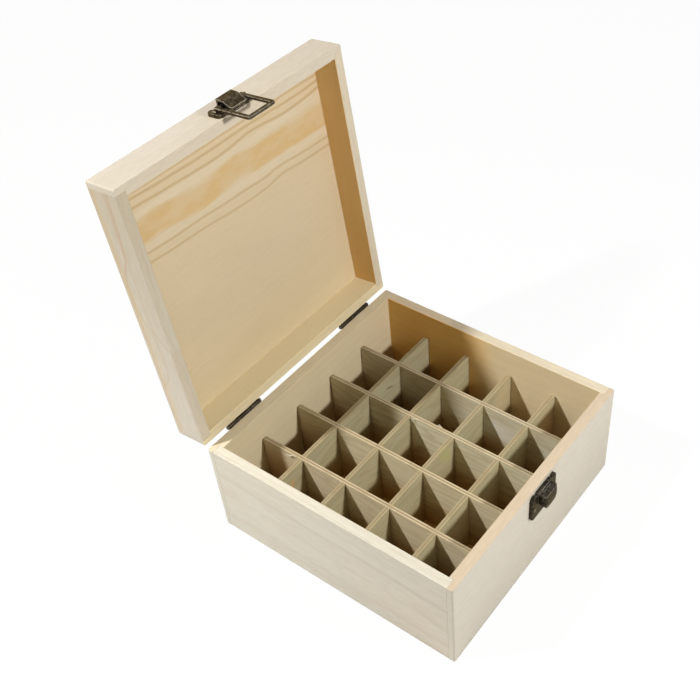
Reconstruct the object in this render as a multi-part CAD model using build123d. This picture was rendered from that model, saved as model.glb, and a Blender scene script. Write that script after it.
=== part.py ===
from build123d import *
import math
import os

# Hinged pine storage box with a lift-out grid of half-lapped dividers and a latch of loop and bill.
# Frame: +Z up, front of the box towards -Y, origin at the centre of the underside.
# Lengths are in millimetres. The lid is drawn closed and then turned open about the hinge pins.

# Box
box_width = 185.0
box_depth = 185.0
box_height = 73.0
wall = 7.0
corner_rabbet = 3.0
panel_rabbet = 3.5
bottom_thickness = 4.0
corner_radius = 1.2

# Lid
lid_height = 22.5
top_thickness = 3.5
parting_gap = 0.4
open_angle = 95.8

# Dividers
cells_across = 5
cells_deep = 5
divider_thickness = 3.0
divider_height = 48.5
divider_end_gap = 0.4
lap_clearance = 0.1
divider_corner = 2.0

# Hinges
hinge_length = 30.0
hinge_inset = 35.5
knuckle_radius = 1.5
knuckle_wall_gap = 0.3
knuckle_side_gap = 0.3
knuckles_per_leaf = 2
pin_radius = 0.75
pin_running_clearance = 0.05
pin_head_radius = 1.1
pin_head_length = 0.6
leaf_height = 12.0
leaf_thickness = 0.9
stop_tab_width = 5.0
stop_tab_thickness = 0.8
stop_tab_clearance = 0.06
stop_tab_root = 0.9

# Latch
latch_offset = 1.4
plate_width = 27.4
plate_rise = 2.4
plate_skin = 0.8
plate_corner = 2.4
plate_edge_round = 0.6
catch_plate_height = 20.5
catch_plate_drop = 3.0
latch_plate_height = 10.4
latch_plate_lift = 1.3
plate_notch_radius = 1.1
plate_notch_offset = 8.6
strip_thickness = 1.0

# Bill of the catch
bill_width = 14.0
bill_root_drop = 0.6
bill_slope = 0.8
bill_rise = 7.3
bill_bulge = 0.5
bill_tip_rise = 7.0
bill_corner = 5.5
bill_edge_round = 2.0
bill_inner_edge_round = 1.0
bill_slot_width = 8.0
bill_slot_depth = 1.0
bill_slot_setback = 0.3
bill_slit_rise = 4.8
bill_slit_width = 0.7
bill_slit_margin = 1.6
bill_loop_clearance = 0.25

# Curl that carries the loop
curl_width = 12.6
curl_back = 3.2
curl_back_drop = 0.2
curl_rise = 7.6
curl_flat = 5.8
curl_flat_fall = 0.4
curl_bend_drop = 1.8
curl_bend_fall = 1.3
curl_knee_drop = 3.3
curl_knee_fall = 2.3
curl_front = 6.2
curl_tip_rise = 4.0
curl_corner = 1.2

# Loop
loop_width = 21.8
loop_reach = 26.8
loop_bar = 2.6
loop_front_bar = 2.6
loop_thickness = 2.0
loop_plate_clearance = 0.1
loop_pivot_height = 6.6
loop_corner = 1.8
loop_edge_round = 0.5

# Screws
screw_radius = 0.65
screw_head_radius = 1.2
screw_head_height = 0.8
screw_length = 5.5
screw_slot = 0.4
screw_slot_depth = 0.4
plate_screw_offset = 12.2
leaf_screw_spacing = 18.0
leaf_screw_drop = 6.8

# Extra reach of a cutting block past the face it opens, and how near an edge counts as on a plane
cut_margin = 1.0
pick_tolerance = 0.01

# Places worked out from the sizes above
half_width = box_width / 2
half_depth = box_depth / 2
inner_width = box_width - 2 * wall
inner_depth = box_depth - 2 * wall
lid_bottom = box_height + parting_gap
lid_top_z = lid_bottom + lid_height
pin_y = half_depth + knuckle_wall_gap + knuckle_radius
pin_z = box_height + parting_gap / 2
hinge_centres = {"left": -half_width + hinge_inset, "right": half_width - hinge_inset}
plate_front = half_depth + plate_rise
loop_axis_y = -(plate_front + loop_plate_clearance + loop_thickness / 2)
loop_axis_z = lid_bottom + loop_pivot_height
loop_inner_reach = loop_reach - loop_front_bar
catch_top = box_height - catch_plate_drop
lid_axis = Axis((0, pin_y, pin_z), (1, 0, 0))


def block(x0, x1, y0, y1, z0, z1):
    """Rectangular solid between two corners."""
    size = Box(x1 - x0, y1 - y0, z1 - z0)
    return Pos((x0 + x1) / 2, (y0 + y1) / 2, (z0 + z1) / 2) * size


def rod(radius, length, centre, direction):
    """Round solid of the given length about a centre, along a direction."""
    return Plane(origin=centre, z_dir=direction) * Cylinder(radius, length)


def eased(shape, x, y, radius=corner_radius):
    """Round the upright edge of a board that stands at the corner x, y."""
    edges = [
        edge
        for edge in shape.edges().filter_by(Axis.Z)
        if math.hypot(edge.center().X - x, edge.center().Y - y) < radius
    ]
    return fillet(edges, radius)


def opened(shape):
    """Turn a piece of the closed lid about the hinge pins to the open pose."""
    return shape.rotate(lid_axis, -open_angle)


def end_board(side, z0, z1, panel_z0, panel_z1):
    """Front (side -1) or back (side +1) board, rabbeted for the side boards and the panel."""
    outer = side * half_depth
    inner = side * (half_depth - wall)
    y0, y1 = sorted((outer, inner))
    board = block(-half_width, half_width, y0, y1, z0, z1)
    lap = side * (half_depth - wall + corner_rabbet)
    y0, y1 = sorted((inner, lap))
    board -= block(-half_width, -half_width + wall, y0, y1, z0, z1)
    board -= block(half_width - wall, half_width, y0, y1, z0, z1)
    groove = side * (half_depth - wall + panel_rabbet)
    y0, y1 = sorted((inner, groove))
    reach = half_width - wall + panel_rabbet
    board -= block(-reach, reach, y0, y1, panel_z0, panel_z1)
    board = eased(board, -half_width, outer)
    return eased(board, half_width, outer)


def side_board(side, z0, z1, panel_z0, panel_z1):
    """Left (side -1) or right (side +1) board, let into the end boards."""
    outer = side * half_width
    inner = side * (half_width - wall)
    x0, x1 = sorted((outer, inner))
    reach = half_depth - wall + corner_rabbet
    board = block(x0, x1, -reach, reach, z0, z1)
    groove = side * (half_width - wall + panel_rabbet)
    x0, x1 = sorted((inner, groove))
    reach = half_depth - wall + panel_rabbet
    return board - block(x0, x1, -reach, reach, panel_z0, panel_z1)


def panel(z0, z1):
    """Thin panel that fills the rabbets of the four boards."""
    x = half_width - wall + panel_rabbet
    y = half_depth - wall + panel_rabbet
    return block(-x, x, -y, y, z0, z1)


def divider(length, count, pitch, slot_from_top):
    """Plywood strip along X, centred, with a half-lap slot at each crossing."""
    strip = block(-length / 2, length / 2, -divider_thickness / 2, divider_thickness / 2, 0, divider_height)
    corners = [
        edge
        for edge in strip.edges().filter_by(Axis.Y)
        if edge.center().Z > divider_height / 2
    ]
    strip = fillet(corners, divider_corner)
    half_slot = divider_thickness / 2 + lap_clearance
    low, high = (divider_height / 2, divider_height) if slot_from_top else (0, divider_height / 2)
    for index in range(count):
        x = (index - (count - 1) / 2) * pitch
        strip -= block(x - half_slot, x + half_slot, -divider_thickness, divider_thickness, low, high)
    return strip


def screw(face, direction, head_height=screw_head_height, length=screw_length):
    """Slotted round-head screw: face is the point on the surface under the head."""
    out = Vector(*direction)
    head_centre = Vector(*face) + out * (head_height / 2)
    shank_centre = Vector(*face) - out * (length / 2)
    body = rod(screw_head_radius, head_height, head_centre, direction)
    body += rod(screw_radius, length, shank_centre, direction)
    slot_centre = Vector(*face) + out * (head_height - screw_slot_depth / 2)
    slot_length = 2 * (screw_head_radius + cut_margin)
    slot = Plane(origin=slot_centre, z_dir=direction) * Box(slot_length, screw_slot, screw_slot_depth)
    return body - slot


def screw_hole(face, direction, length=screw_length):
    """Hole that a screw's shank fills, from the surface under the head."""
    centre = Vector(*face) - Vector(*direction) * (length / 2)
    return rod(screw_radius, length, centre, direction)


def knuckle_spans(centre):
    """X spans of the four knuckles of a hinge, from left to right: lid, box, lid, box."""
    count = 2 * knuckles_per_leaf
    pitch = hinge_length / count
    start = centre - hinge_length / 2
    return [
        (start + index * pitch + knuckle_side_gap / 2, start + (index + 1) * pitch - knuckle_side_gap / 2)
        for index in range(count)
    ]


def leaf_screw_points(centre, up):
    """Points on a leaf's outer face under its screw heads."""
    z = pin_z + up * leaf_screw_drop
    return [(centre + s * leaf_screw_spacing / 2, half_depth + leaf_thickness, z) for s in (-1, 1)]


def hinge_leaf(centre, up, spans, other_spans, bore):
    """Leaf on the outside of the back, with knuckles rolled round the pin; up is +1 on the lid."""
    left = centre - hinge_length / 2
    right = centre + hinge_length / 2
    cut_from = half_depth - cut_margin
    z0, z1 = sorted((pin_z, pin_z + up * leaf_height))
    leaf = block(left, right, half_depth, half_depth + leaf_thickness, z0, z1)
    relief = knuckle_radius + knuckle_wall_gap
    for x0, x1 in other_spans:
        x0 -= knuckle_side_gap
        x1 += knuckle_side_gap
        leaf -= block(x0, x1, cut_from, pin_y, pin_z - relief, pin_z + relief)
    for x0, x1 in spans:
        z0, z1 = sorted((pin_z, pin_z + up * knuckle_radius))
        leaf += block(x0, x1, half_depth + knuckle_wall_gap, pin_y, z0, z1)
        leaf += rod(knuckle_radius, x1 - x0, ((x0 + x1) / 2, pin_y, pin_z), (1, 0, 0))
    board_edge = box_height if up < 0 else lid_bottom
    z0, z1 = sorted((board_edge, pin_z - up * leaf_height))
    leaf -= block(left, right, cut_from, half_depth + knuckle_wall_gap, z0, z1)
    leaf -= rod(bore, hinge_length + cut_margin, (centre, pin_y, pin_z), (1, 0, 0))
    for point in leaf_screw_points(centre, up):
        leaf -= screw_hole(point, (0, 1, 0))
    return leaf


def stop_tab(centre, spans):
    """Heel on the lid leaf's first knuckle that comes down on the box leaf at the open angle."""
    swing = math.radians(open_angle)
    x0, x1 = spans[0]
    middle = (x0 + x1) / 2
    lean = -math.cos(swing)
    room = pin_y - half_depth - leaf_thickness - stop_tab_clearance
    low = -stop_tab_thickness / 2
    reach = (room + low * math.sin(swing)) / lean
    return block(
        middle - stop_tab_width / 2,
        middle + stop_tab_width / 2,
        pin_y + stop_tab_root,
        pin_y + reach,
        pin_z + low,
        pin_z - low,
    )


def hinge_pin(centre):
    """Pin through the four knuckles with a small head at each end."""
    pin = rod(pin_radius, hinge_length, (centre, pin_y, pin_z), (1, 0, 0))
    for side in (-1, 1):
        x = centre + side * (hinge_length + pin_head_length) / 2
        pin += rod(pin_head_radius, pin_head_length, (x, pin_y, pin_z), (1, 0, 0))
    return pin


def pan(z0, z1):
    """Pressed plate with turned-down edges, flat against the front face between two heights."""
    x0 = latch_offset - plate_width / 2
    x1 = latch_offset + plate_width / 2
    shell = block(x0, x1, -plate_front, -half_depth, z0, z1)
    shell = fillet(shell.edges().filter_by(Axis.Y), plate_corner)
    for side in (-1, 1):
        centre = (latch_offset + side * plate_notch_offset, -half_depth, z1)
        shell -= rod(plate_notch_radius, 2 * (plate_rise + cut_margin), centre, (0, 1, 0))
    shell = fillet(shell.faces().sort_by(Axis.Y)[0].edges(), plate_edge_round)
    x0 += plate_skin
    x1 -= plate_skin
    z0 += plate_skin
    z1 -= plate_skin + plate_notch_radius
    pocket = block(x0, x1, -plate_front + plate_skin, -half_depth, z0, z1)
    return shell - fillet(pocket.edges().filter_by(Axis.Y), plate_corner - plate_skin)


def plate_screw_points(z):
    """Points on a pan's front under its two screw heads."""
    return [(latch_offset + side * plate_screw_offset, -plate_front, z) for side in (-1, 1)]


def profile_solid(points, width):
    """Solid drawn as a section of (distance from the front face, height), as wide as given."""
    section = Plane.YZ * Polygon(*[(-half_depth - rise, z) for rise, z in points], align=None)
    return Pos(latch_offset - width / 2, 0, 0) * extrude(section, width, dir=(1, 0, 0))


def inner_side(path, thickness):
    """Points under a bent strip whose outer side follows the path, mitred at the bends."""
    normals = []
    for (rise_0, z_0), (rise_1, z_1) in zip(path, path[1:]):
        length = math.hypot(rise_1 - rise_0, z_1 - z_0)
        normals.append(((z_1 - z_0) / length, (rise_0 - rise_1) / length))
    points = []
    for index, (rise, z) in enumerate(path):
        before = normals[max(index - 1, 0)]
        after = normals[min(index, len(normals) - 1)]
        scale = thickness / (1 + before[0] * after[0] + before[1] * after[1])
        points.append((rise + scale * (before[0] + after[0]), z + scale * (before[1] + after[1])))
    return points


def side_edges(solid, width):
    """Edges of a solid on the latch that lie in its two side faces."""
    return [
        edge
        for edge in solid.edges()
        if abs(abs(edge.center().X - latch_offset) - width / 2) < pick_tolerance
    ]


def bill_path():
    """Outer side of the bill's section, from the plate over the top and down to the tip."""
    root_top = catch_top - bill_root_drop
    top = root_top - bill_slope
    reach = loop_inner_reach - bill_loop_clearance
    across = half_depth + bill_tip_rise + loop_axis_y
    tip = loop_axis_z - math.sqrt(reach**2 - across**2)
    middle = (top + tip) / 2
    return [(plate_rise, root_top), (bill_rise, top), (bill_rise + bill_bulge, middle), (bill_tip_rise, tip)]


def bill_block(path, width, back, low, edge_round):
    """Solid in front of the plate under the path, with its two upright front edges rounded."""
    solid = profile_solid([(back, path[0][1])] + path + [(back, low)], width)
    front = [edge for edge in side_edges(solid, width) if edge.center().Y < -half_depth - bill_slit_rise]
    return fillet(front, edge_round)


def catch_bill():
    """Bill of the catch: a hood that stands out from the plate, open below, with a rounded tip."""
    path = bill_path()
    tip = path[-1][1]
    top = path[1][1]
    hood = bill_block(path, bill_width, plate_rise - plate_skin, tip, bill_edge_round)
    inner_width = bill_width - 2 * strip_thickness
    inner = inner_side(path, strip_thickness)
    inner[0] = (plate_rise, inner[0][1])
    inner.append((inner[-1][0], tip - cut_margin))
    hood -= bill_block(inner, inner_width, plate_rise, tip - cut_margin, bill_inner_edge_round)
    x0 = latch_offset - bill_width / 2
    x1 = latch_offset + bill_width / 2
    front = -half_depth - bill_rise - bill_bulge - cut_margin
    outline = block(x0, x1, front, -half_depth, tip, catch_top)
    low_corners = outline.edges().filter_by(Axis.Y).sort_by(Axis.Z)[:2]
    hood &= fillet(low_corners, bill_corner)
    y1 = -plate_front - bill_slot_setback
    half_slot = bill_slot_width / 2
    slot = (latch_offset - half_slot, latch_offset + half_slot, y1 - bill_slot_depth, y1)
    hood -= block(*slot, top - strip_thickness, catch_top)
    y1 = -half_depth - bill_slit_rise
    slit = (x0 - cut_margin, x1 + cut_margin, y1 - bill_slit_width, y1)
    return hood - block(*slit, tip + bill_corner + bill_slit_margin, top - bill_slit_margin)


def curl():
    """Curl of the latch plate: a strip that leaves the plate behind the loop's bar and folds over it."""
    back = loop_axis_z + curl_back
    shoulder = back - curl_flat
    nose = shoulder - curl_front
    path = [
        (plate_rise - plate_skin, back),
        (curl_rise, back - curl_back_drop),
        (curl_rise - curl_flat_fall, shoulder),
        (curl_rise - curl_flat_fall - curl_bend_fall, shoulder - curl_bend_drop),
        (curl_rise - curl_flat_fall - curl_knee_fall, shoulder - curl_knee_drop),
        (curl_tip_rise, nose),
    ]
    inner = inner_side(path, strip_thickness)
    inner[0] = (path[0][0], inner[0][1])
    strip = profile_solid(path + inner[::-1], curl_width)
    corners = [edge for edge in side_edges(strip, curl_width) if edge.center().Z < nose + strip_thickness]
    return fillet(corners, curl_corner)


def latch_loop():
    """Rectangular loop: flat arms and front bar, and a round bar that turns in the curl."""
    x0 = latch_offset - loop_width / 2
    x1 = latch_offset + loop_width / 2
    y0 = loop_axis_y - loop_thickness / 2
    y1 = loop_axis_y + loop_thickness / 2
    z0 = loop_axis_z - loop_reach
    frame = block(x0, x1, y0, y1, z0, loop_axis_z)
    low_corners = frame.edges().filter_by(Axis.Y).sort_by(Axis.Z)[:2]
    frame = fillet(low_corners, loop_corner)
    frame -= block(x0 + loop_bar, x1 - loop_bar, y0, y1, z0 + loop_front_bar, loop_axis_z)
    rims = [
        edge
        for edge in frame.edges()
        if abs(abs(edge.center().Y - loop_axis_y) - loop_thickness / 2) < pick_tolerance
        and edge.center().Z < loop_axis_z - pick_tolerance
    ]
    frame = fillet(rims, loop_edge_round)
    return frame + rod(loop_thickness / 2, loop_width, (latch_offset, loop_axis_y, loop_axis_z), (1, 0, 0))


# Boards and panels of the box
parts = {}
parts["box_front"] = end_board(-1, 0, box_height, 0, bottom_thickness)
parts["box_back"] = end_board(1, 0, box_height, 0, bottom_thickness)
parts["box_left"] = side_board(-1, 0, box_height, 0, bottom_thickness)
parts["box_right"] = side_board(1, 0, box_height, 0, bottom_thickness)
parts["box_bottom"] = panel(0, bottom_thickness)

# Boards and panel of the lid, drawn closed
lid = {}
lid["lid_front"] = end_board(-1, lid_bottom, lid_top_z, lid_top_z - top_thickness, lid_top_z)
lid["lid_back"] = end_board(1, lid_bottom, lid_top_z, lid_top_z - top_thickness, lid_top_z)
lid["lid_left"] = side_board(-1, lid_bottom, lid_top_z, lid_top_z - top_thickness, lid_top_z)
lid["lid_right"] = side_board(1, lid_bottom, lid_top_z, lid_top_z - top_thickness, lid_top_z)
lid["lid_top"] = panel(lid_top_z - top_thickness, lid_top_z)

# Hinges, one at each side of the back
box_leaf_screws = []
lid_leaf_screws = []
for name, centre in hinge_centres.items():
    spans = knuckle_spans(centre)
    lid_spans, box_spans = spans[0::2], spans[1::2]
    parts[f"hinge_box_leaf_{name}"] = hinge_leaf(centre, -1, box_spans, lid_spans, pin_radius)
    lid_bore = pin_radius + pin_running_clearance
    lid_leaf = hinge_leaf(centre, 1, lid_spans, box_spans, lid_bore)
    lid[f"hinge_lid_leaf_{name}"] = lid_leaf + stop_tab(centre, lid_spans)
    parts[f"hinge_pin_{name}"] = hinge_pin(centre)
    for point in leaf_screw_points(centre, -1):
        box_leaf_screws.append(screw(point, (0, 1, 0)))
        parts["box_back"] -= screw_hole(point, (0, 1, 0))
    for point in leaf_screw_points(centre, 1):
        lid_leaf_screws.append(screw(point, (0, 1, 0)))
        lid["lid_back"] -= screw_hole(point, (0, 1, 0))
parts["hinge_box_screws"] = Compound(children=box_leaf_screws)
lid["hinge_lid_screws"] = Compound(children=lid_leaf_screws)

# Catch on the front of the box
catch_middle = catch_top - catch_plate_height / 2
catch = pan(catch_top - catch_plate_height, catch_top) + catch_bill()
catch_screws = []
for point in plate_screw_points(catch_middle):
    catch -= screw_hole(point, (0, -1, 0))
    parts["box_front"] -= screw_hole(point, (0, -1, 0))
    catch_screws.append(screw(point, (0, -1, 0)))
parts["catch_plate"] = catch
parts["catch_screws"] = Compound(children=catch_screws)

# Latch plate with its curl, and the loop that swings in it
latch_low = lid_bottom + latch_plate_lift
latch = pan(latch_low, latch_low + latch_plate_height) + curl()
latch_screws = []
for point in plate_screw_points(latch_low + latch_plate_height / 2):
    latch -= screw_hole(point, (0, -1, 0))
    lid["lid_front"] -= screw_hole(point, (0, -1, 0))
    latch_screws.append(screw(point, (0, -1, 0)))
lid["latch_plate"] = latch
lid["latch_screws"] = Compound(children=latch_screws)
lid["latch_loop"] = latch_loop()

# Divider grid, standing on the bottom panel
long_length = inner_depth - 2 * divider_end_gap
cross_length = inner_width - 2 * divider_end_gap
pitch_x = (inner_width + divider_thickness) / cells_across
pitch_y = (inner_depth + divider_thickness) / cells_deep
for index in range(cells_across - 1):
    x = (index - (cells_across - 2) / 2) * pitch_x
    strip = divider(long_length, cells_deep - 1, pitch_y, slot_from_top=False)
    parts[f"divider_long_{index + 1}"] = Pos(x, 0, bottom_thickness) * Rot(0, 0, 90) * strip
for index in range(cells_deep - 1):
    y = ((cells_deep - 2) / 2 - index) * pitch_y
    strip = divider(cross_length, cells_across - 1, pitch_x, slot_from_top=True)
    parts[f"divider_cross_{index + 1}"] = Pos(0, y, bottom_thickness) * strip

for name, shape in lid.items():
    parts[name] = opened(shape)

os.makedirs("parts", exist_ok=True)
for name, shape in parts.items():
    export_step(shape, f"parts/{name}.step")
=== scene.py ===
"""Pine storage box for small bottles: finishes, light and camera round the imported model."""

import logging
import math
from dataclasses import dataclass
from enum import Enum
from typing import Any, Iterable, Union

import bpy
from mathutils import Matrix, Vector


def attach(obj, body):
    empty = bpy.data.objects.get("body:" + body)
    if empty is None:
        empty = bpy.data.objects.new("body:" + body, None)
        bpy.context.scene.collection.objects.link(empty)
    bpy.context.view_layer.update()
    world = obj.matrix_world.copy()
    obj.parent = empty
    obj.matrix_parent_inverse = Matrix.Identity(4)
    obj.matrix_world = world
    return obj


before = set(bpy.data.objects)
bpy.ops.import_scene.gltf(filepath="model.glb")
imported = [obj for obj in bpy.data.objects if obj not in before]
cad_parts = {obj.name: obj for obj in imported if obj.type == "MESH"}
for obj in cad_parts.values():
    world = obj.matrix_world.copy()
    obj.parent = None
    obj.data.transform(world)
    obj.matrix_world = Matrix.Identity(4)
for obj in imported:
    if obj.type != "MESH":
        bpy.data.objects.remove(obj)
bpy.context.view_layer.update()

LOG = logging.getLogger("pine_box")
MM = 0.001

Pair = tuple[float, float]
Colour = tuple[float, float, float]
Point = tuple[float, float, float]


class Along(Enum):
    """Axis of the shared frame that the grain of a board or strip follows."""

    X = "x"
    Y = "y"


class Value:
    """Output socket of a shader graph; arithmetic on numbers adds Math nodes."""

    def __init__(self, graph: "Graph", socket: bpy.types.NodeSocket) -> None:
        """Wrap a socket.

        Args:
            graph: The graph that the socket belongs to.
            socket: The output socket.
        """
        self.graph = graph
        self.socket = socket

    def _math(self, operation: str, *terms: "Number") -> "Value":
        """Add one Math node.

        Args:
            operation: Blender's name of the operation.
            terms: Its inputs, in order.

        Returns:
            The node's result.
        """
        inputs = {index: term for index, term in enumerate(terms)}
        return self.graph.node("ShaderNodeMath", {"operation": operation}, inputs)

    def __add__(self, other: "Number") -> "Value":
        """Sum."""
        return self._math("ADD", self, other)

    __radd__ = __add__

    def __sub__(self, other: "Number") -> "Value":
        """Difference."""
        return self._math("SUBTRACT", self, other)

    def __rsub__(self, other: "Number") -> "Value":
        """Difference with the value second."""
        return self._math("SUBTRACT", other, self)

    def __mul__(self, other: "Number") -> "Value":
        """Product."""
        return self._math("MULTIPLY", self, other)

    __rmul__ = __mul__

    def __truediv__(self, other: "Number") -> "Value":
        """Quotient."""
        return self._math("DIVIDE", self, other)

    def __pow__(self, other: "Number") -> "Value":
        """Power."""
        return self._math("POWER", self, other)

    def __abs__(self) -> "Value":
        """Absolute value."""
        return self._math("ABSOLUTE", self)

    def fraction(self) -> "Value":
        """Part after the decimal point."""
        return self._math("FRACT", self)

    def most(self, other: "Number") -> "Value":
        """Larger of two values."""
        return self._math("MAXIMUM", self, other)

    def least(self, other: "Number") -> "Value":
        """Smaller of two values."""
        return self._math("MINIMUM", self, other)

    def step(self, low: float, high: float) -> "Value":
        """Smooth rise from 0 at low to 1 at high.

        Args:
            low: Where the rise starts.
            high: Where it ends; below low it is a fall.

        Returns:
            The smoothed value.
        """
        if low > high:
            return 1.0 - self.step(high, low)
        settings = {"interpolation_type": "SMOOTHSTEP", "clamp": True}
        inputs = {"Value": self, "From Min": low, "From Max": high}
        return self.graph.node("ShaderNodeMapRange", settings, inputs)


Number = Union[Value, float]


class Graph:
    """Node graph of one material or of the world."""

    def __init__(self, tree: bpy.types.NodeTree) -> None:
        """Clear a tree and take it over.

        Args:
            tree: The node tree.
        """
        self.tree = tree
        self.tree.nodes.clear()

    @staticmethod
    def _socket(sockets: Iterable[bpy.types.NodeSocket], key: Union[int, str]) -> bpy.types.NodeSocket:
        """Find a socket.

        Args:
            sockets: A node's inputs or outputs.
            key: Its place, its identifier or its name.

        Returns:
            The socket.
        """
        sockets = list(sockets)
        if isinstance(key, int):
            return sockets[key]
        for socket in sockets:
            if socket.identifier == key:
                return socket
        return next(socket for socket in sockets if socket.name == key)

    def node(
        self,
        kind: str,
        settings: dict[str, Any] | None = None,
        inputs: dict[Union[int, str], Any] | None = None,
        output: Union[int, str, None] = 0,
    ) -> Value | None:
        """Add a node.

        Args:
            kind: The node's Blender type.
            settings: Its settings, with a ramp's stops as (place, colour) pairs under "stops".
            inputs: Values or links of its sockets.
            output: The output that is wanted, or None for a node that has none.

        Returns:
            That output.
        """
        made = self.tree.nodes.new(kind)
        for name, value in (settings or {}).items():
            if name == "stops":
                self._set_stops(made.color_ramp, value)
            else:
                setattr(made, name, value)
        for key, value in (inputs or {}).items():
            socket = self._socket(made.inputs, key)
            if isinstance(value, Value):
                self.tree.links.new(value.socket, socket)
            else:
                socket.default_value = value
        return None if output is None else Value(self, self._socket(made.outputs, output))

    @staticmethod
    def _set_stops(ramp: bpy.types.ColorRamp, stops: Iterable[tuple[float, Colour]]) -> None:
        """Give a ramp its stops.

        Args:
            ramp: The colour ramp.
            stops: (place, colour) pairs, in order.
        """
        ramp.interpolation = "B_SPLINE"
        while len(ramp.elements) > 1:
            ramp.elements.remove(ramp.elements[0])
        for index, (place, colour) in enumerate(stops):
            element = ramp.elements[0] if index == 0 else ramp.elements.new(place)
            element.position = place
            element.color = (*colour, 1.0)

    def blend(self, amount: Number, first: Any, second: Any, how: str = "MIX") -> Value:
        """Mix two colours.

        Args:
            amount: Share of the second colour.
            first: Colour or link.
            second: Colour or link.
            how: Blend type.

        Returns:
            The mixed colour.
        """
        settings = {"data_type": "RGBA", "blend_type": how}
        first, second = (c if isinstance(c, Value) else (*c, 1.0) for c in (first, second))
        inputs = {"Factor_Float": amount, "A_Color": first, "B_Color": second}
        return self.node("ShaderNodeMix", settings, inputs, "Result_Color")

    def vector(self, operation: str, *terms: Any) -> Value:
        """Add one Vector Math node.

        Args:
            operation: Blender's name of the operation.
            terms: Its inputs, in order; a number goes to Scale.

        Returns:
            The node's vector.
        """
        inputs = {("Scale" if isinstance(t, float) else i): t for i, t in enumerate(terms)}
        return self.node("ShaderNodeVectorMath", {"operation": operation}, inputs)

    def split(self, vector: Value) -> tuple[Value, Value, Value]:
        """Take a vector apart.

        Args:
            vector: The vector.

        Returns:
            Its three numbers.
        """
        parts = self.node("ShaderNodeSeparateXYZ", None, {0: vector})
        sockets = parts.socket.node.outputs
        return Value(self, sockets[0]), Value(self, sockets[1]), Value(self, sockets[2])

    def join(self, x: Number, y: Number, z: Number) -> Value:
        """Make a vector of three numbers."""
        return self.node("ShaderNodeCombineXYZ", None, {0: x, 1: y, 2: z})

    def tinted(self, amount: Number, colour: Value, tint: Any) -> Value:
        """Multiply a colour by a tint where the amount is 1.

        Args:
            amount: Share of the tinted colour.
            colour: The colour.
            tint: The tint, as a colour or a link.

        Returns:
            The new colour.
        """
        return self.blend(amount, colour, self.blend(1.0, colour, tint, "MULTIPLY"))

    def noise(self, place: Value, scale: float = 1.0, detail: float = 2.0, rough: float = 0.5) -> Value:
        """Smooth noise between 0 and 1.

        Args:
            place: Where it is read.
            scale: Its frequency.
            detail: Number of finer layers.
            rough: Weight of the finer layers.

        Returns:
            The noise.
        """
        inputs = {"Vector": place, "Scale": scale, "Detail": detail, "Roughness": rough}
        return self.node("ShaderNodeTexNoise", None, inputs, "Fac")

    def curve(self, run: Value, path: tuple[Pair, ...]) -> Value:
        """Smooth curve through a row of points.

        Args:
            run: Where it is read.
            path: (run, height) points, in order.

        Returns:
            The height.
        """
        runs = [point[0] for point in path]
        heights = [point[1] for point in path]
        low, span = min(heights), max(heights) - min(heights) + 1e-6
        stops = [((r - runs[0]) / (runs[-1] - runs[0]), ((h - low) / span,) * 3) for r, h in path]
        share = (run - runs[0]) / (runs[-1] - runs[0])
        return self.node("ShaderNodeValToRGB", {"stops": stops}, {0: share}) * span + low

    def bump(self, height: Value, strength: float, depth: float) -> Value:
        """Normal bent by a height.

        Args:
            height: Height between 0 and 1.
            strength: Share of the effect.
            depth: Depth of a height of 1, in metres.

        Returns:
            The normal.
        """
        inputs = {"Strength": strength, "Distance": depth, "Height": height}
        return self.node("ShaderNodeBump", None, inputs)

    def out(self, shader: Value, kind: str = "ShaderNodeOutputMaterial") -> None:
        """Send a shader to the output.

        Args:
            shader: The shader.
            kind: Type of the output node.
        """
        self.node(kind, None, {"Surface": shader}, None)


def surface(name: str) -> tuple[bpy.types.Material, Graph]:
    """Make an empty material.

    Args:
        name: The material's name.

    Returns:
        The material and its graph.
    """
    material = bpy.data.materials.new(name)
    material.use_nodes = True
    return material, Graph(material.node_tree)


LID_PIN: Point = (0.0, 0.0943, 0.0732)
LID_ANGLE = math.radians(95.8)

# Places on the shut box where a finish changes, in millimetres. A pair holds the start and the end of the
# change, and the rims are measured up and down from the parting height.
FRONT_TO_BACK: Pair = (-92.0, 92.0)
HOLLOW_SIDES: Pair = (85.85, 85.65)
HOLLOW_CEILING: Pair = (92.55, 92.45)
HOLLOW_FLOOR: Pair = (3.8, 3.95)
PARTING_HEIGHT = 73.2
PARTING_RIMS: Pair = (0.36, 0.3)
BOARD_TIPS: Pair = (92.25, 92.4)
# The strips take painted shade from the first height down to the second.
STRIP_SHADED_FOOT: Pair = (36.0, 8.0)
STRIP_TOP: Pair = (52.3, 52.42)


def place_on(graph: Graph, turned: bool = False) -> Value:
    """Place on a piece, in millimetres of the shared frame.

    Args:
        graph: The material's graph.
        turned: True for a piece of the lid, which is read as it lies when shut.

    Returns:
        The place.
    """
    place = graph.node("ShaderNodeTexCoord", None, None, "Object")
    if turned:
        inputs = {"Vector": place, "Center": LID_PIN, "Angle": LID_ANGLE}
        place = graph.node("ShaderNodeVectorRotate", {"rotation_type": "X_AXIS"}, inputs)
    return graph.vector("SCALE", place, 1.0 / MM)


@dataclass(frozen=True)
class Streak:
    """Coloured grain line on the face of a board, or a band of painted light, in millimetres.

    The path holds (along, across) points, and an upright line is measured up the board instead of across
    it. The line wanders by the sway to either side. A patchy line comes and goes along its run, and the
    firm share of its width has its full strength.
    """

    path: tuple[Pair, ...]
    width: float
    strength: float
    sway: float = 0.8
    tint: Colour = (0.52, 0.36, 0.17)
    upright: bool = False
    patchy: float = 0.0
    firm: float = 0.0


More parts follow.
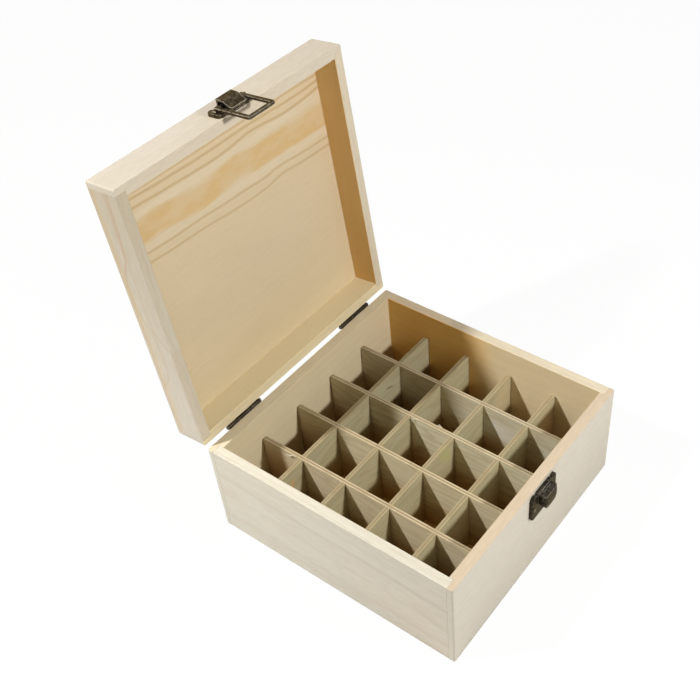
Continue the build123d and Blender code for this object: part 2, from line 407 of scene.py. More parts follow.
@dataclass(frozen=True)
class PineFinish:
    """Sanded raw pine, cut from a log whose heart runs beside the board.

    The inside tint is painted bounce light and shade on the faces that look into the box, and from front to
    back it turns into a second tint between the two places of the turn; on the right wall of the box that
    second tint is the painted shadow of the open lid. The rim tint acts on the faces where the lid meets the
    box, and the ends tint on the ends of the front and back boards. A pair of tints from front to back paints
    light along the whole board, running from its first tint at the front to its second at the back. Flecks is
    the strength of the mottling outside, and sawn is the height of the saw marks, which are left on the lid's
    panel alone.
    """

    name: str
    along: Along
    heart: Pair
    ring: float = 6.0
    seed: float = 0.0
    rings: float = 0.20
    early: Colour = (0.735, 0.665, 0.525)
    late: Colour = (0.62, 0.48, 0.30)
    warm: Colour = (0.72, 0.60, 0.42)
    # Painted bounce light and shade inside the box, with a second tint towards the back.
    inside: Colour = (1.0, 0.96, 0.82)
    painted_light_and_shade: Colour = (1.0, 1.0, 1.0)
    turn: Pair | None = None
    rim: Colour = (1.06, 1.05, 1.02)
    ends: Colour = (1.0, 1.0, 1.0)
    # Painted light from front to back.
    painted_light_fade: tuple[Colour, Colour] | None = None
    flecks: float = 0.17
    sawn: float = 0.0
    torn: Colour = (0.86, 0.78, 0.62)
    duct: Colour = (0.40, 0.27, 0.14)
    tone: tuple[float, float, float] = (0.705, 0.145, 0.07)
    gleam: float = 0.3
    relief: Pair = (0.5, 0.00025)
    seed_step: float = 37.0
    streaks: tuple[Streak, ...] = ()
    turned: bool = False

    def make(self) -> bpy.types.Material:
        """Build the material.

        Returns:
            The material.
        """
        material, g = surface(self.name)
        x, y, z = g.split(place_on(g, self.turned))
        a, b = (x, y) if self.along is Along.X else (y, x)
        run = a + self.seed * self.seed_step
        late = self._late_wood(g, run, b, z)
        fibre = g.noise(g.join(run * 0.03, b * 1.6, z * 1.6), detail=3.0, rough=0.6)
        hair = g.noise(g.join(run * 0.12, b * 6.0, z * 6.0))
        cloud = g.noise(g.join(run * 0.012, b * 0.03, z * 0.03 + self.seed))
        amount = late * (0.45 + 0.9 * fibre) * self.rings
        colour = g.blend(amount.least(1.0), self.early, self.late)
        colour = g.blend(cloud.step(0.3, 0.75) * 0.35, colour, self.warm)
        for index, streak in enumerate(self.streaks):
            side = z if streak.upright else b
            colour = g.blend(self._line(g, index, a, run, side, fibre), colour, streak.tint)
        sides = abs(x).most(abs(y)).step(*HOLLOW_SIDES)
        within = sides * z.step(*HOLLOW_CEILING) * z.step(*HOLLOW_FLOOR)
        colour = self._toned(g, colour, within, x, y, z)
        fleck = g.noise(g.join(run * 0.13, b * 1.1, z * 1.1 + self.seed), detail=1.0) - 0.5
        base, by_fibre, by_hair = self.tone
        shade = base + by_fibre * fibre + by_hair * hair + fleck * (1.0 - within) * self.flecks
        colour = g.blend(1.0, colour, g.join(shade, shade, shade * 1.1 - 0.081), "MULTIPLY")
        duct = g.noise(g.join(run * 0.25, b * 9.0, z * 9.0 + self.seed), detail=0.0).step(0.73, 0.83)
        colour = g.blend(duct * 0.35, colour, self.duct)
        height = fibre * 0.6 + hair * 0.3 + late * 0.25
        if self.sawn:
            rough = g.noise(g.join(run * 0.55, b * 1.3, z * 1.3), detail=1.0)
            height = height + rough * self.sawn
            colour = g.blend(rough.step(0.6, 0.8) * (0.25 * self.sawn), colour, self.torn)
        inputs = {
            "Base Color": colour,
            "Roughness": 0.55 + 0.2 * fibre,
            "Normal": g.bump(height, *self.relief),
            "Specular IOR Level": self.gleam,
        }
        g.out(g.node("ShaderNodeBsdfPrincipled", None, inputs))
        return material

    def _late_wood(self, g: Graph, run: Value, b: Value, z: Value) -> Value:
        """Darker part of each year ring.

        Args:
            g: The material's graph.
            run: Place along the grain.
            b: Level place across the grain.
            z: Height.

        Returns:
            1 in the late wood and 0 in the early wood.
        """
        wander = g.noise(g.join(run * 0.006, b * 0.022, z * 0.022)) - 0.5
        ripple = g.noise(g.join(run * 0.03, b * 0.12, z * 0.12 + self.seed), detail=1.0) - 0.5
        across = b - self.heart[0] + wander * 16.0 + ripple * 1.4
        deep = z - self.heart[1]
        radius = (across * across + deep * deep) ** 0.5
        uneven = g.noise(g.join(radius * 0.11, self.seed, 0.0))
        part = (radius / self.ring + uneven * 2.2).fraction()
        return part.step(0.25, 0.86) * part.step(1.0, 0.9)

    def _line(self, g: Graph, index: int, a: Value, run: Value, side: Value, fibre: Value) -> Value:
        """Strength of one streak.

        Args:
            g: The material's graph.
            index: Place of the streak in the row of streaks.
            a: Place along the grain, from the middle of the board.
            run: Place along the grain, moved on by the seed.
            side: Place across the streak.
            fibre: Fibres of the wood, between 0 and 1.

        Returns:
            Share of the streak's tint, between 0 and 1.
        """
        streak = self.streaks[index]
        sway = g.noise(g.join(run * 0.03, 3.1 * index + self.seed, 0.0), detail=1.0) - 0.5
        off = abs(side - g.curve(a, streak.path) + sway * (2.0 * streak.sway))
        blotch = g.noise(g.join(run * 0.045, side * 0.09, 5.3 * index)).step(0.38, 0.62)
        there = 1.0 - streak.patchy * (1.0 - blotch)
        ragged = off + (fibre - 0.5) * (0.7 * streak.width)
        line = ragged.step(streak.width, streak.width * streak.firm)
        return (line * (0.6 + 0.8 * fibre) * there * streak.strength).least(1.0)

    def _toned(self, g: Graph, colour: Value, within: Value, x: Value, y: Value, z: Value) -> Value:
        """Paint bounce light and shade on the faces inside the box, tint the rims, paint light from front to
        back and tint the ends.

        Args:
            g: The material's graph.
            colour: The wood's colour.
            within: 1 on the faces inside the box and 0 on the others.
            x: Place to the right.
            y: Place to the back.
            z: Height.

        Returns:
            The tinted colour.
        """
        # Painted bounce light and shade inside the box, turning towards the back into the painted shadow of
        # the open lid.
        tint = self.inside if self.turn is None else g.blend(y.step(*self.turn), self.inside, self.painted_light_and_shade)
        colour = g.tinted(within, colour, tint)
        colour = g.tinted(abs(z - PARTING_HEIGHT).step(*PARTING_RIMS), colour, self.rim)
        # Painted light: the board is tinted from front to back.
        if self.painted_light_fade is not None:
            colour = g.blend(1.0, colour, g.blend(y.step(*FRONT_TO_BACK), *self.painted_light_fade), "MULTIPLY")
        return g.tinted(abs(x).step(*BOARD_TIPS), colour, self.ends)


@dataclass(frozen=True)
class Mark:
    """Stain, resin streak, scratch or patch of painted shade on a strip, in millimetres.

    It is an oval of the given half sizes round its middle, leaning by the slope as it goes to the right.
    """

    middle: Point
    half: Point
    tint: Colour
    strength: float = 0.5
    slope: float = 0.0


@dataclass(frozen=True)
class PlywoodFinish:
    """Thin three-ply strip: pale rotary-cut faces, and a brown core between two glue lines on its edges."""

    name: str
    along: Along
    middle: float
    seed: float = 0.0
    core: float = 0.45
    glue: float = 0.14
    face: Colour = (0.59, 0.53, 0.33)
    figure: Colour = (0.48, 0.39, 0.215)
    patch: Colour = (0.62, 0.50, 0.29)
    # Painted shade: darker and browner low in the cells.
    low: Colour = (0.82, 0.62, 0.38)
    top: Colour = (0.80, 0.77, 0.69)
    inner: Colour = (0.46, 0.355, 0.26)
    line: Colour = (0.30, 0.20, 0.12)
    marks: tuple[Mark, ...] = ()
    tone: tuple[float, float, float] = (0.60, 0.19, 0.09)
    gleam: float = 0.25
    relief: Pair = (0.6, 0.0002)
    seed_step: float = 53.0

    def make(self) -> bpy.types.Material:
        """Build the material.

        Returns:
            The material.
        """
        material, g = surface(self.name)
        x, y, z = g.split(place_on(g))
        a, b = (x, y) if self.along is Along.X else (y, x)
        run = a + self.seed * self.seed_step
        fray = g.noise(g.join(run * 0.35, b * 0.6, z * 0.35)) - 0.5
        depth = abs(b - self.middle + fray * 0.35)
        contour = g.noise(g.join(run * 0.010, z * 0.055, self.seed), detail=1.5) * 9.0
        rings = contour.fraction()
        figure = rings.step(0.3, 0.9) * rings.step(1.0, 0.93)
        fibre = g.noise(g.join(run * 0.05, b * 2.0, z * 1.6), detail=3.0, rough=0.65)
        hair = g.noise(g.join(run * 0.2, b * 5.0, z * 6.0))
        colour = g.blend(figure * (0.25 + 0.5 * fibre), self.face, self.figure)
        cloud = g.noise(g.join(run * 0.02, z * 0.04, self.seed + 7.0)).step(0.35, 0.8)
        colour = g.blend(cloud * 0.4, colour, self.patch)
        core = depth.step(self.core + 0.1, self.core - 0.1)
        colour = g.blend(core * (0.65 + 0.5 * fibre), colour, self.inner)
        glue = abs(depth - self.core).step(self.glue, 0.0)
        colour = g.blend(glue * 0.7, colour, self.line)
        base, by_fibre, by_hair = self.tone
        shade = base + by_fibre * fibre + by_hair * hair
        colour = g.blend(1.0, colour, g.join(shade, shade, shade), "MULTIPLY")
        # Painted shade towards the foot of the strip.
        colour = g.tinted(z.step(*STRIP_SHADED_FOOT), colour, self.low)
        colour = g.tinted(z.step(*STRIP_TOP), colour, self.top)
        for mark in self.marks:
            wide, deep, high = ((v - m) / h for v, m, h in zip((x, y, z), mark.middle, mark.half))
            high = high - wide * (mark.slope * mark.half[0] / mark.half[2])
            away = (wide * wide + deep * deep + high * high) ** 0.5 + (fibre - 0.5) * 0.7
            spot = away.step(1.0, 0.2) * (0.5 + fibre) * mark.strength
            colour = g.blend(spot.least(1.0), colour, mark.tint)
        inputs = {
            "Base Color": colour,
            "Roughness": 0.6 + 0.2 * fibre,
            "Normal": g.bump(fibre * 0.7 + hair * 0.3 + core * 0.2, *self.relief),
            "Specular IOR Level": self.gleam,
        }
        g.out(g.node("ShaderNodeBsdfPrincipled", None, inputs))
        return material


@dataclass(frozen=True)
class BronzeFinish:
    """Pressed steel with a dark bronze plating, bright along its edges from wear and from painted highlight.

    Reach is how far in from an edge the bright band goes, in metres; the band is wear of the plating together
    with painted highlight. Edges are the two amounts by which the surface turns there, between which the band
    grows from nothing to full.
    """

    name: str
    wear_and_highlight: float = 0.8
    reach: float = 0.0007
    dark: Colour = (0.030, 0.023, 0.014)
    brown: Colour = (0.100, 0.078, 0.050)
    bright: Colour = (0.90, 0.80, 0.62)
    glance: Colour = (0.75, 0.60, 0.38)
    edges: Pair = (0.05, 0.20)
    metal: float = 0.9
    relief: Pair = (0.35, 0.00008)

    def make(self) -> bpy.types.Material:
        """Build the material.

        Returns:
            The material.
        """
        material, g = surface(self.name)
        place = place_on(g)
        rounded = g.node("ShaderNodeBevel", {"samples": 6}, {"Radius": self.reach})
        flat = g.node("ShaderNodeNewGeometry", None, None, "True Normal")
        turn = g.node("ShaderNodeVectorMath", {"operation": "DOT_PRODUCT"}, {0: rounded, 1: flat}, "Value")
        cloud = g.noise(place, 0.45, 3.0)
        grain = g.noise(place, 3.5, 3.0, 0.6)
        edge = (1.0 - turn + (cloud - 0.5) * 0.08).step(*self.edges)
        colour = g.blend(cloud.step(0.35, 0.7), self.dark, self.brown)
        colour = g.blend(grain.step(0.62, 0.8) * 0.25, colour, self.bright)
        # Bright edges: wear of the plating together with painted highlight.
        colour = g.blend(edge * self.wear_and_highlight, colour, self.bright)
        inputs = {
            "Base Color": colour,
            "Metallic": self.metal,
            "Specular Tint": (*self.glance, 1.0),
            "Roughness": 0.34 + 0.22 * grain - 0.06 * edge,
            "Normal": g.bump(grain * 0.7 + cloud * 0.3, *self.relief),
        }
        g.out(g.node("ShaderNodeBsdfPrincipled", None, inputs))
        return material


# Points closer than the first, in metres, are joined, and edges that turn by more than the second are broken.
WELD_REACH = 1e-6
SHARP_TURN = math.radians(40.0)


def dress(node: str, material: bpy.types.Material, ease: float, segments: int = 2) -> None:
    """Give a CAD node its finish and softly broken edges.

    Args:
        node: The node's name.
        material: Its finish.
        ease: Width of the broken edge, in millimetres.
        segments: Faces across the broken edge.
    """
    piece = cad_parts[node]
    piece.data.materials.clear()
    piece.data.materials.append(material)
    weld = piece.modifiers.new("weld", "WELD")
    weld.merge_threshold = WELD_REACH
    soft = piece.modifiers.new("ease", "BEVEL")
    soft.width = ease * MM
    soft.segments = segments
    soft.limit_method = "ANGLE"
    soft.angle_limit = SHARP_TURN
    soft.use_clamp_overlap = True
    shade = piece.modifiers.new("shade", "WEIGHTED_NORMAL")
    shade.keep_sharp = False
    LOG.info("dressed %s", node)


@dataclass
class PineBox:
    """Body of the box: four boards and the bottom panel."""

    ease: float = 0.35
    boards: tuple[PineFinish, ...] = (
        PineFinish(
            "pine_box_front",
            Along.X,
            heart=(-60.0, 20.0),
            ring=7.0,
            seed=1.0,
            rings=0.1,
            early=(0.655, 0.61, 0.515),
            warm=(0.66, 0.59, 0.47),
            rim=(0.99, 0.88, 0.77),
            ends=(1.05, 1.055, 1.045),
        ),
        PineFinish(
            "pine_box_back",
            Along.X,
            heart=(150.0, -30.0),
            seed=2.0,
            rings=0.1,
            early=(0.8, 0.71, 0.52),
            warm=(0.8, 0.68, 0.48),
            # Painted bounce light on the inner face of the back board.
            inside=(1.1, 1.06, 0.96),
            ends=(0.97, 1.05, 1.2),
        ),
        PineFinish(
            "pine_box_left",
            Along.Y,
            heart=(-150.0, 30.0),
            ring=4.2,
            seed=3.0,
            rings=0.28,
            early=(0.765, 0.715, 0.585),
            late=(0.68, 0.56, 0.42),
            warm=(0.75, 0.64, 0.47),
            rim=(1.03, 1.04, 1.03),
            # Painted light: darker at the front and lighter at the back.
            painted_light_fade=((0.91, 0.91, 0.93), (1.03, 1.06, 1.1)),
            streaks=(
                Streak(
                    ((-92.0, 47.5), (-30.0, 51.5), (40.0, 50.0), (92.0, 53.0)),
                    width=2.4, strength=0.3, sway=1.0, tint=(0.56, 0.48, 0.38), upright=True, patchy=0.3,
                ),
                Streak(
                    ((-92.0, 30.5), (0.0, 33.0), (92.0, 36.0)),
                    width=3.2, strength=0.22, sway=1.0, tint=(0.66, 0.5, 0.38), upright=True, patchy=0.5,
                ),
                Streak(
                    ((-92.0, 12.0), (0.0, 15.0), (92.0, 14.0)),
                    width=2.6, strength=0.25, sway=1.0, tint=(0.62, 0.48, 0.38), upright=True, patchy=0.5,
                ),
            ),
        ),
        PineFinish(
            "pine_box_right",
            Along.Y,
            heart=(40.0, 90.0),
            ring=6.5,
            seed=4.0,
            rings=0.12,
            early=(0.78, 0.69, 0.49),
            warm=(0.78, 0.66, 0.44),
            inside=(1.14, 1.08, 0.99),
            # Painted shadow of the open lid: towards the back the inner wall turns deeper and more golden.
            painted_light_and_shade=(1.36, 0.97, 0.44),
            turn=(-14.0, 28.0),
            rim=(0.96, 0.96, 1.02),
            streaks=(
                # Painted light: a pale band along the back of the rim lifts the shadow that the open lid
                # casts there.
                Streak(
                    ((-92.0, 80.0), (0.0, 78.0), (22.0, 73.1), (92.0, 73.1)),
                    width=0.8, strength=0.8, sway=0.0, tint=(1.0, 0.83, 0.56), upright=True, firm=0.5,
                ),
            ),
        ),
        PineFinish(
            "pine_box_bottom",
            Along.X,
            heart=(20.0, -60.0),
            ring=8.0,
            seed=5.0,
            # Painted bounce light and shade on the floor of the cells: warm and orange.
            inside=(1.28, 0.93, 0.47),
        ),
    )

    def build(self) -> None:
        """Dress the five pieces."""
        for finish in self.boards:
            dress(finish.name.removeprefix("pine_"), finish.make(), self.ease)


@dataclass
class PineLid:
    """Lid of the box: four boards and the top panel, dressed as they lie when shut."""

    ease: float = 0.35
    boards: tuple[PineFinish, ...] = (
        PineFinish(
            "pine_lid_front",
            Along.X,
            heart=(-160.0, 70.0),
            seed=6.0,
            rings=0.12,
            early=(0.72, 0.65, 0.54),
            ends=(0.9, 0.91, 0.9),
            turned=True,
        ),
        PineFinish(
            "pine_lid_back",
            Along.X,
            heart=(150.0, 70.0),
            seed=7.0,
            rings=0.12,
            early=(0.79, 0.68, 0.47),
            # Painted light lifts the shaded inner face of the back board.
            inside=(1.33, 1.34, 1.27),
            rim=(1.17, 1.17, 1.1),
            ends=(0.9, 0.96, 1.17),
            turned=True,
        ),
        PineFinish(
            "pine_lid_left",
            Along.Y,
            heart=(-170.0, 60.0),
            ring=7.0,
            seed=8.0,
            rings=0.16,
            early=(0.63, 0.56, 0.44),
            # Painted light: darker at the front and lighter at the back.
            painted_light_fade=((0.91, 0.9, 0.88), (1.12, 1.17, 1.26)),
            streaks=(
                Streak(
                    (
                        (-92.0, 80.8), (-64.0, 82.8), (-45.0, 85.2), (-38.0, 88.8), (-30.0, 91.6),
                        (-12.0, 93.3),
                    ),
                    width=1.6, strength=0.65, sway=0.3, tint=(0.6, 0.41, 0.27), upright=True,
                ),
                Streak(
                    ((-14.0, 93.5), (-4.0, 91.5), (4.0, 86.0), (10.0, 80.0), (18.0, 73.0)),
                    width=1.8, strength=0.5, sway=0.2, tint=(0.58, 0.45, 0.3), upright=True,
                ),
                Streak(
                    ((-34.0, 94.5), (0.0, 91.0)),
                    width=4.0, strength=0.35, sway=0.2, tint=(0.7, 0.54, 0.3), upright=True, firm=0.4,
                ),
                Streak(
                    ((36.0, 83.5), (44.0, 87.0), (49.0, 91.5), (53.0, 96.0)),
                    width=1.4, strength=0.45, sway=0.3, tint=(0.58, 0.43, 0.28), upright=True,
                ),
            ),
            turned=True,
        ),
        PineFinish(
            "pine_lid_right",
            Along.Y,
            heart=(170.0, 60.0),
            seed=9.0,
            rings=0.12,
            # Painted bounce light and shade: the inner face of the right board is deep golden.
            inside=(1.32, 0.97, 0.51),
            turned=True,
        ),
        PineFinish(
            "pine_lid_top",
            Along.X,
            heart=(20.0, -90.0),
            ring=16.0,
            seed=10.0,
            rings=0.06,
            early=(0.76, 0.66, 0.48),
            # Painted bounce light on the inside of the panel, lighter and warmer towards the hinge.
            inside=(1.03, 0.97, 0.88),
            painted_light_and_shade=(1.13, 1.08, 0.95),
            turn=(10.0, 80.0),
            flecks=0.1,
            sawn=0.8,
            streaks=(
                Streak(
                    ((-85.0, -69.5), (85.0, -67.0)),
                    width=8.0, strength=0.15, sway=1.0, tint=(0.74, 0.58, 0.32), patchy=0.4,
                ),
                Streak(
                    ((-85.0, -60.0), (0.0, -58.5), (85.0, -59.0)),
                    width=4.0, strength=0.5, tint=(0.8, 0.73, 0.58), firm=0.3,
                ),
                Streak(
                    ((-85.0, -38.5), (0.0, -36.5), (85.0, -34.5)),
                    width=4.0, strength=0.45, tint=(0.79, 0.72, 0.57), firm=0.3,
                ),
                Streak(
                    (
                        (-85.0, -74.6), (-48.0, -73.3), (-23.0, -72.4), (-8.0, -73.3), (47.0, -72.4),
                        (85.0, -72.4),
                    ),
                    width=1.5, strength=0.5,
                ),
                Streak(
                    (
                        (-85.0, -71.4), (-54.0, -69.9), (-10.0, -68.6), (21.0, -69.3), (47.0, -68.0),
                        (64.0, -67.4), (85.0, -68.0),
                    ),
                    width=1.6, strength=0.62,
                ),
                Streak(
                    (
                        (-85.0, -66.2), (-54.0, -64.0), (-35.0, -62.8), (-15.0, -61.8), (4.0, -62.4),
                        (20.0, -65.0), (35.0, -63.4), (50.0, -61.3), (66.0, -61.8), (85.0, -63.6),
                    ),
                    width=1.7, strength=0.6,
                ),
                Streak(
                    (
                        (-85.0, -49.7), (-38.0, -48.6), (-8.0, -46.0), (7.0, -48.6), (27.0, -47.0),
                        (46.0, -45.5), (85.0, -45.5),
                    ),
                    width=9.5, strength=1.0, sway=4.0, tint=(0.72, 0.53, 0.27), patchy=0.45, firm=0.6,
                ),
                Streak(
                    (
                        (-85.0, -36.4), (-54.0, -34.0), (-29.0, -33.6), (-10.0, -32.4), (8.0, -31.8),
                        (25.0, -30.0), (35.0, -32.0), (52.0, -30.5), (85.0, -28.4),
                    ),
                    width=1.6, strength=0.5,
                ),
                Streak(
                    (
                        (-85.0, -30.4), (-60.0, -27.8), (-48.0, -28.6), (-17.0, -25.5), (2.0, -24.3),
                        (27.0, -23.6), (37.0, -26.0), (52.0, -24.9), (85.0, -22.7),
                    ),
                    width=1.6, strength=0.5,
                ),
            ),
            turned=True,
        ),
    )

    def build(self) -> None:
        """Dress the five pieces."""
        for finish in self.boards:
            dress(finish.name.removeprefix("pine_"), finish.make(), self.ease)


@dataclass
class DividerGrid:
    """Eight half-lapped plywood strips."""

    ease: float = 0.12
    count: int = 4
    pitch: float = 34.8
    long_seed: float = 1.0
    cross_seed: float = 11.0
    # The long strips' faces are paler than the cross strips' plywood: painted light on the faces that the key
    # lamp lights.
    long_faces: tuple[Colour, ...] = (
        (0.83, 0.72, 0.50),
        (0.86, 0.76, 0.52),
        (0.89, 0.82, 0.59),
        (0.82, 0.75, 0.56),
    )
    long_figure: Colour = (0.62, 0.51, 0.31)
    long_patch: Colour = (0.78, 0.65, 0.42)
    cross_marks: tuple[tuple[Mark, ...], ...] = (
        (
            Mark((38.0, 50.5, 41.5), (7.0, 4.0, 1.1), (0.16, 0.12, 0.07), 0.9, -0.4),
            Mark((-66.0, 50.5, 40.0), (4.0, 4.0, 7.0), (0.58, 0.36, 0.14), 0.7, 1.2),
        ),
        (Mark((-36.0, 16.0, 34.0), (14.0, 4.0, 8.0), (0.46, 0.42, 0.24), 0.5, 0.2),),
        (
            Mark((6.0, -19.0, 45.0), (9.0, 4.0, 11.0), (0.44, 0.42, 0.16), 0.6, -0.6),
            # Painted bounce light and shade: orange patch low on the right, beside the right wall.
            Mark((76.0, -19.0, 36.0), (20.0, 5.0, 20.0), (0.58, 0.45, 0.25), 0.5),
        ),
        (
            # Painted bounce light and shade: orange-brown patch beside the right wall.
            Mark((74.0, -54.0, 26.0), (24.0, 5.0, 28.0), (0.56, 0.40, 0.21), 0.7),
            # Painted shade on the front face, where the box's front wall shades it.
            Mark((-20.0, -54.0, 30.0), (40.0, 4.0, 16.0), (0.50, 0.38, 0.22), 0.5),
        ),
    )
    long_marks: tuple[Mark, ...] = (
        # The first two are painted shade on the rear of the long strips, in the open lid's shadow.
        Mark((-53.7, 76.0, 30.0), (4.0, 20.0, 26.0), (0.50, 0.30, 0.16), 0.7),
        Mark((-18.5, 74.0, 30.0), (4.0, 18.0, 24.0), (0.50, 0.33, 0.18), 0.5),
        Mark((51.0, -30.0, 34.0), (4.0, 24.0, 14.0), (0.72, 0.70, 0.62), 0.6),
    )

    def build(self) -> None:
        """Dress the strips."""
        for index in range(self.count):
            place = (index - (self.count - 1) / 2) * self.pitch
            long_one = PlywoodFinish(
                f"ply_long_{index + 1}",
                Along.Y,
                middle=place,
                seed=self.long_seed + index,
                face=self.long_faces[index],
                figure=self.long_figure,
                patch=self.long_patch,
                marks=self.long_marks,
            )
            dress(f"divider_long_{index + 1}", long_one.make(), self.ease, 1)
            cross = PlywoodFinish(
                f"ply_cross_{index + 1}",
                Along.X,
                middle=-place,
                seed=self.cross_seed + index,
                marks=self.cross_marks[index],
            )
            dress(f"divider_cross_{index + 1}", cross.make(), self.ease, 1)


Bit = tuple[float, float, float, float, float, float]


@dataclass
class Splinters:
    """Torn fibres that the saw left on the upper edges of the strips, as one piece.

    Each bit is (x, y, heading in degrees, length, bend, drop), in millimetres.
    """

    top: float = 52.4
    thick: float = 0.5
    thinning: float = 0.8
    sections: int = 8
    finish: PlywoodFinish = PlywoodFinish(
        "ply_splinters",
        Along.Y,
        middle=900.0,
        seed=31.0,
        face=(0.90, 0.84, 0.70),
        patch=(0.88, 0.80, 0.64),
    )
    bits: tuple[Bit, ...] = (
        (-53.5, 56.5, 100.0, 7.0, 1.2, 0.4),
        (-53.6, 58.0, 128.0, 4.2, -1.0, 1.2),
        (16.0, 9.5, 97.0, 7.5, 1.4, 0.5),
        (16.1, 12.0, 140.0, 3.4, 0.8, 1.4),
        (18.8, -7.5, 70.0, 4.5, -0.8, 0.9),
        (18.8, -5.0, 30.0, 2.8, 0.9, 1.5),
        (-18.5, -61.5, 75.0, 5.0, -1.0, 0.9),
    )

    def build(self) -> None:
        """Lay the fibres."""
        points: list[Point] = []
        faces: list[tuple[int, ...]] = []
        for bit in self.bits:
            first = len(points)
            points.extend(self._skin(bit))
            for ring in range(self.sections - 1):
                start = first + 4 * ring
                for corner in range(4):
                    after = (corner + 1) % 4
                    faces.append((start + corner, start + after, start + 4 + after, start + 4 + corner))
            last = first + 4 * (self.sections - 1)
            faces.append((first + 3, first + 2, first + 1, first))
            faces.append((last, last + 1, last + 2, last + 3))
        mesh = bpy.data.meshes.new("splinters")
        mesh.from_pydata(points, [], faces)
        piece = bpy.data.objects.new("splinters", mesh)
        bpy.context.scene.collection.objects.link(piece)
        mesh.materials.append(self.finish.make())
        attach(piece, "grid")

    def _skin(self, bit: Bit) -> list[Point]:
        """Rings of four points round the middle line of one fibre, thinning towards its tip.

        Args:
            bit: The fibre.

        Returns:
            The points, in metres.
        """
        x, y, heading, length, bend, drop = bit
        ahead, side = math.cos(math.radians(heading)), math.sin(math.radians(heading))
        points = []
        for ring in range(self.sections):
            share = ring / (self.sections - 1)
            run, off = share * length, bend * share * share
            size = self.thick * (1.0 - self.thinning * share)
            for wide, high in ((size, 0.0), (0.0, size), (-size, 0.0), (0.0, -size)):
                across = off + wide
                along_x = x + run * ahead - across * side
                along_y = y + run * side + across * ahead
                up = self.top + high - drop * share * share
                points.append((along_x * MM, along_y * MM, up * MM))
        return points


@dataclass
class Ironmongery:
    """Hinges, latch and screws."""

    ease: float = 0.14
    small_ease: float = 0.084
    latch_finish: BronzeFinish = BronzeFinish("bronze_plate")
    # Bright edges on the loop: wear and painted highlight lines.
    loop_finish: BronzeFinish = BronzeFinish("bronze_loop", wear_and_highlight=1.0, reach=0.0010, edges=(0.02, 0.12))
    catch_finish: BronzeFinish = BronzeFinish(
        "bronze_catch",
        wear_and_highlight=0.6,
        reach=0.0006,
        dark=(0.020, 0.017, 0.012),
        brown=(0.072, 0.060, 0.044),
        bright=(0.86, 0.80, 0.68),
        glance=(0.74, 0.65, 0.50),
        edges=(0.08, 0.28),
    )
    leaf_finish: BronzeFinish = BronzeFinish(
        "bronze_leaf",
        wear_and_highlight=0.7,
        reach=0.0004,
        dark=(0.020, 0.015, 0.009),
        brown=(0.055, 0.042, 0.025),
        edges=(0.10, 0.30),
    )
    small_finish: BronzeFinish = BronzeFinish("bronze_small", wear_and_highlight=0.6, reach=0.0003)
    leaves: tuple[str, ...] = (
        "hinge_box_leaf_left",
        "hinge_box_leaf_right",
        "hinge_lid_leaf_left",
        "hinge_lid_leaf_right",
    )
    small: tuple[str, ...] = (
        "hinge_pin_left",
        "hinge_pin_right",
        "hinge_box_screws",
        "hinge_lid_screws",
        "catch_screws",
        "latch_screws",
    )

    def build(self) -> None:
        """Dress the metal pieces."""
        dress("latch_plate", self.latch_finish.make(), self.ease)
        dress("catch_plate", self.catch_finish.make(), self.ease)
        dress("latch_loop", self.loop_finish.make(), self.ease)
        leaf = self.leaf_finish.make()
        for node in self.leaves:
            dress(node, leaf, self.ease)
        small = self.small_finish.make()
        for node in self.small:
            dress(node, small, self.small_ease)


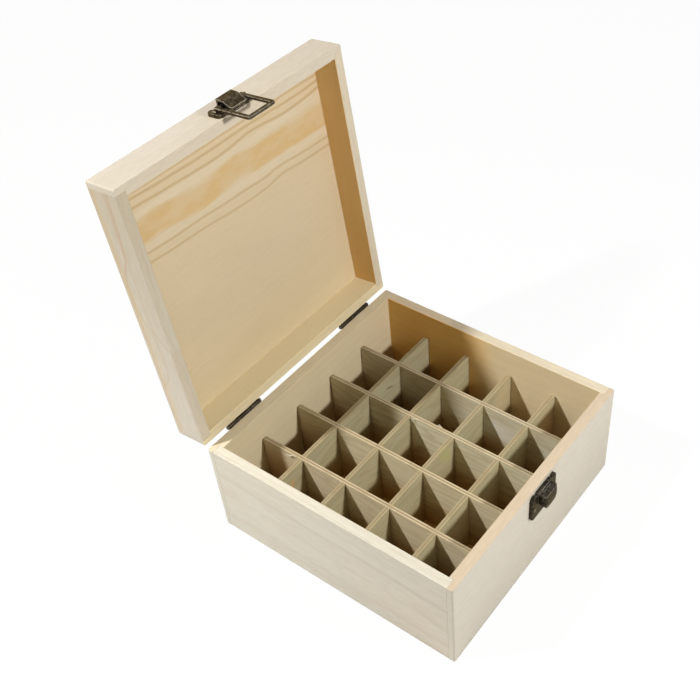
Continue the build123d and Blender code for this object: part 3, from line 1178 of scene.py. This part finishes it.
@dataclass
class Studio:
    """Pale floor, soft surroundings, a small key lamp behind on the left and a weaker one in front."""

    floor_half: float = 3.0
    floor_drop: float = 0.0002
    floor_white: Colour = (0.9, 0.9, 0.9)
    floor_glow: float = 0.95
    ambient: float = 0.12
    ambient_tint: Colour = (1.0, 0.82, 0.56)
    key_place: Point = (-0.64, 0.53, 1.05)
    key_size: float = 0.075
    key_power: float = 16.0
    fill_place: Point = (0.07, -0.574, 0.526)
    fill_size: float = 0.06
    fill_power: float = 4.3
    aim: Point = (0.0, 0.0, 0.06)

    def build(self) -> None:
        """Set the stage."""
        self._floor()
        self._world()
        self._lamp("key", self.key_place, self.key_size, self.key_power, "DISK")
        self._lamp("fill", self.fill_place, self.fill_size, self.fill_power, "SQUARE")
        bpy.context.scene.view_settings.view_transform = "Standard"

    def _floor(self) -> None:
        """Lay the floor."""
        mesh = bpy.data.meshes.new("floor")
        h, z = self.floor_half, -self.floor_drop
        mesh.from_pydata([(-h, -h, z), (h, -h, z), (h, h, z), (-h, h, z)], [], [(0, 1, 2, 3)])
        floor = bpy.data.objects.new("floor", mesh)
        bpy.context.scene.collection.objects.link(floor)
        material, g = surface("floor_paper")
        paper = g.node("ShaderNodeBsdfDiffuse", None, {"Color": (*self.floor_white, 1.0)})
        glow = g.node("ShaderNodeEmission", None, {"Color": (1.0, 1.0, 1.0, 1.0), "Strength": 1.0})
        seen = self._seen(g) * self.floor_glow
        g.out(g.node("ShaderNodeMixShader", None, {0: seen, 1: paper, 2: glow}))
        mesh.materials.append(material)

    @staticmethod
    def _seen(g: Graph) -> Value:
        """Tell the rays that show the surroundings from those that only light the box.

        Args:
            g: The graph.

        Returns:
            1 for a ray that comes from the camera, a reflection or through glass, and 0 for the others.
        """
        kinds = ("Is Camera Ray", "Is Glossy Ray", "Is Transmission Ray")
        first, second, third = (g.node("ShaderNodeLightPath", None, None, kind) for kind in kinds)
        return (first + second + third).least(1.0)

    def _world(self) -> None:
        """Light the surroundings."""
        world = bpy.data.worlds.new("studio")
        world.use_nodes = True
        bpy.context.scene.world = world
        g = Graph(world.node_tree)
        ambient = {"Color": (*self.ambient_tint, 1.0), "Strength": self.ambient}
        soft = g.node("ShaderNodeBackground", None, ambient)
        white = g.node("ShaderNodeBackground", None, {"Color": (1.0, 1.0, 1.0, 1.0), "Strength": 1.0})
        mixed = g.node("ShaderNodeMixShader", None, {0: self._seen(g), 1: soft, 2: white})
        g.out(mixed, "ShaderNodeOutputWorld")

    def _lamp(self, name: str, place: Point, size: float, power: float, shape: str) -> None:
        """Hang one lamp, aimed at the box.

        Args:
            name: The lamp's name.
            place: Where it hangs.
            size: Its width.
            power: Its power, in watts.
            shape: Blender's name of its shape.
        """
        light = bpy.data.lights.new(name, "AREA")
        light.shape = shape
        light.size = size
        light.energy = power
        lamp = bpy.data.objects.new(name, light)
        bpy.context.scene.collection.objects.link(lamp)
        lamp.location = place
        lamp.rotation_euler = (Vector(self.aim) - Vector(place)).to_track_quat("-Z", "Y").to_euler()
        lamp.visible_camera = False


@dataclass
class Viewpoint:
    """Camera of the photograph."""

    place: Point = (-0.3552, -0.2827, 0.5574)
    right: Point = (0.5888, -0.8070, -0.0465)
    up: Point = (0.5770, 0.3793, 0.7234)
    lens: float = 53.77
    sensor: float = 36.0
    shift: Pair = (-0.0842, 0.01296)
    nearest: float = 0.01

    def build(self) -> None:
        """Set up the camera."""
        data = bpy.data.cameras.new("camera")
        data.lens = self.lens
        data.sensor_width = self.sensor
        data.shift_x, data.shift_y = self.shift
        data.clip_start = self.nearest
        camera = bpy.data.objects.new("camera", data)
        bpy.context.scene.collection.objects.link(camera)
        right = Vector(self.right).normalized()
        back = right.cross(Vector(self.up)).normalized()
        up = back.cross(right)
        turn = Matrix((right, up, back)).transposed().to_4x4()
        camera.matrix_world = Matrix.Translation(self.place) @ turn
        bpy.context.scene.camera = camera


def main() -> None:
    """Build the scene in order."""
    logging.basicConfig(level=logging.WARNING)
    for part in (Viewpoint(), Studio(), PineBox(), PineLid(), DividerGrid(), Splinters(), Ironmongery()):
        part.build()
        LOG.info("built %s", type(part).__name__)


if __name__ == "__main__":
    main()
